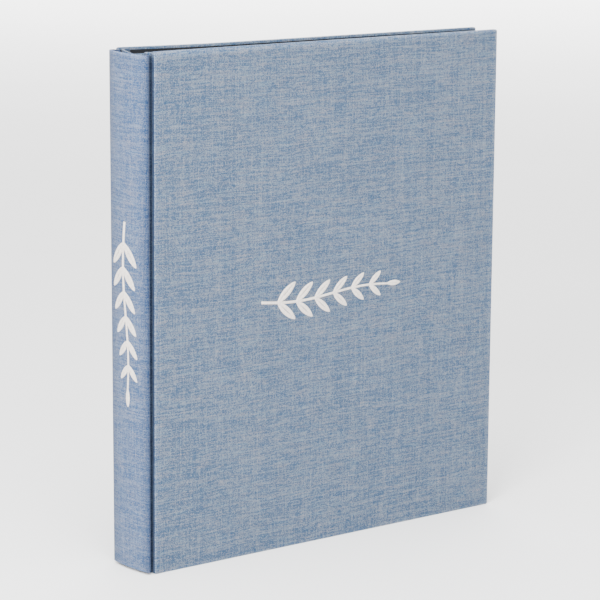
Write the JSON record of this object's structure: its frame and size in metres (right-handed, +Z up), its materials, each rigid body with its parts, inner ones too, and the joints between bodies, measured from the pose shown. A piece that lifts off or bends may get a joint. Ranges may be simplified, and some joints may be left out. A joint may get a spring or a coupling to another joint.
{
  "type": "scrapbook album",
  "caption": "Upright cloth-covered scrapbook album with hidden-post binding, hinged covers, convex spine cover, card leaves and an embroidered sprig.",
  "frame": {"origin": "centre of the base of the whole album's bounding box, on the surface that it stands on", "axes": "+Z up along the spine, +X from the spine towards the fore-edge, -Y out of the front cover"},
  "size_m": [0.2666, 0.036, 0.298],
  "materials": {
    "cover_cloth": "melange linen weave, matt",
    "spine_cloth": "melange linen weave, matt",
    "hinge_cloth": "melange linen weave, matt",
    "embroidery_thread": "satin-stitched cotton thread",
    "cover_board": "solid card, matt",
    "spine_card": "solid card, matt",
    "hinge_strip": "solid card, matt",
    "leaf_stub": "solid card, matt",
    "leaf_card": "solid card, matt",
    "lining_paper": "matt black paper",
    "post_metal": "nickel-plated, satin"
  },
  "bodies": {
    "binding": {"spine_card": "spine_card", "spine_cloth": "spine_cloth", "spine_lining": "lining_paper", "spine_embroidery": "embroidery_thread", "front_hinge_strip": "hinge_strip", "back_hinge_strip": "hinge_strip", "front_hinge_cloth": "hinge_cloth", "back_hinge_cloth": "hinge_cloth", "binding_posts": "post_metal", "post_screws": "post_metal", "leaf_stub_01": "leaf_stub", "leaf_stub_02": "leaf_stub", "leaf_stub_03": "leaf_stub", "leaf_stub_04": "leaf_stub", "leaf_stub_05": "leaf_stub", "leaf_stub_06": "leaf_stub", "leaf_stub_07": "leaf_stub", "leaf_stub_08": "leaf_stub", "leaf_stub_09": "leaf_stub", "leaf_stub_10": "leaf_stub"},
    "front_cover": {"front_cover_board": "cover_board", "front_cover_cloth": "cover_cloth", "front_endpaper": "lining_paper", "front_embroidery": "embroidery_thread"},
    "back_cover": {"back_cover_board": "cover_board", "back_cover_cloth": "cover_cloth", "back_endpaper": "lining_paper"},
    "leaf_01": {"leaf_01": "leaf_card"},
    "leaf_02": {"leaf_02": "leaf_card"},
    "leaf_03": {"leaf_03": "leaf_card"},
    "leaf_04": {"leaf_04": "leaf_card"},
    "leaf_05": {"leaf_05": "leaf_card"},
    "leaf_06": {"leaf_06": "leaf_card"},
    "leaf_07": {"leaf_07": "leaf_card"},
    "leaf_08": {"leaf_08": "leaf_card"},
    "leaf_09": {"leaf_09": "leaf_card"},
    "leaf_10": {"leaf_10": "leaf_card"}
  },
  "joints": [
    {"name": "front_cover_hinge", "type": "hinge", "parent": "binding", "child": "front_cover", "pos_m": [-0.127, -0.01725, 0.149], "axis": [0, 0, -1], "range_deg": [0, 178]},
    {"name": "back_cover_hinge", "type": "hinge", "parent": "binding", "child": "back_cover", "pos_m": [-0.127, 0.01795, 0.149], "axis": [0, 0, 1], "range_deg": [0, 178]},
    {"name": "leaf_01_crease", "type": "hinge", "parent": "binding", "child": "leaf_01", "pos_m": [-0.0919, -0.00808, 0.149], "axis": [0, 0, -1], "range_deg": [0, 120]},
    {"name": "leaf_02_crease", "type": "hinge", "parent": "binding", "child": "leaf_02", "pos_m": [-0.0906, -0.00673, 0.149], "axis": [0, 0, -1], "range_deg": [0, 105]},
    {"name": "leaf_03_crease", "type": "hinge", "parent": "binding", "child": "leaf_03", "pos_m": [-0.0893, -0.00537, 0.149], "axis": [0, 0, -1], "range_deg": [0, 90]},
    {"name": "leaf_04_crease", "type": "hinge", "parent": "binding", "child": "leaf_04", "pos_m": [-0.088, -0.00402, 0.149], "axis": [0, 0, -1], "range_deg": [0, 75]},
    {"name": "leaf_05_crease", "type": "hinge", "parent": "binding", "child": "leaf_05", "pos_m": [-0.0867, -0.00267, 0.149], "axis": [0, 0, -1], "range_deg": [0, 60]},
    {"name": "leaf_06_crease", "type": "hinge", "parent": "binding", "child": "leaf_06", "pos_m": [-0.0867, -0.00133, 0.149], "axis": [0, 0, 1], "range_deg": [0, 60]},
    {"name": "leaf_07_crease", "type": "hinge", "parent": "binding", "child": "leaf_07", "pos_m": [-0.088, 0.00003, 0.149], "axis": [0, 0, 1], "range_deg": [0, 75]},
    {"name": "leaf_08_crease", "type": "hinge", "parent": "binding", "child": "leaf_08", "pos_m": [-0.0893, 0.00137, 0.149], "axis": [0, 0, 1], "range_deg": [0, 90]},
    {"name": "leaf_09_crease", "type": "hinge", "parent": "binding", "child": "leaf_09", "pos_m": [-0.0906, 0.00272, 0.149], "axis": [0, 0, 1], "range_deg": [0, 105]},
    {"name": "leaf_10_crease", "type": "hinge", "parent": "binding", "child": "leaf_10", "pos_m": [-0.0919, 0.00407, 0.149], "axis": [0, 0, 1], "range_deg": [0, 120]}
  ],
  "couplings": [
    {"joint": "leaf_01_crease", "follows": "front_cover_hinge", "ratio": 0.67416},
    {"joint": "leaf_02_crease", "follows": "front_cover_hinge", "ratio": 0.58989},
    {"joint": "leaf_03_crease", "follows": "front_cover_hinge", "ratio": 0.50562},
    {"joint": "leaf_04_crease", "follows": "front_cover_hinge", "ratio": 0.42135},
    {"joint": "leaf_05_crease", "follows": "front_cover_hinge", "ratio": 0.33708},
    {"joint": "leaf_06_crease", "follows": "back_cover_hinge", "ratio": 0.33708},
    {"joint": "leaf_07_crease", "follows": "back_cover_hinge", "ratio": 0.42135},
    {"joint": "leaf_08_crease", "follows": "back_cover_hinge", "ratio": 0.50562},
    {"joint": "leaf_09_crease", "follows": "back_cover_hinge", "ratio": 0.58989},
    {"joint": "leaf_10_crease", "follows": "back_cover_hinge", "ratio": 0.67416}
  ]
}
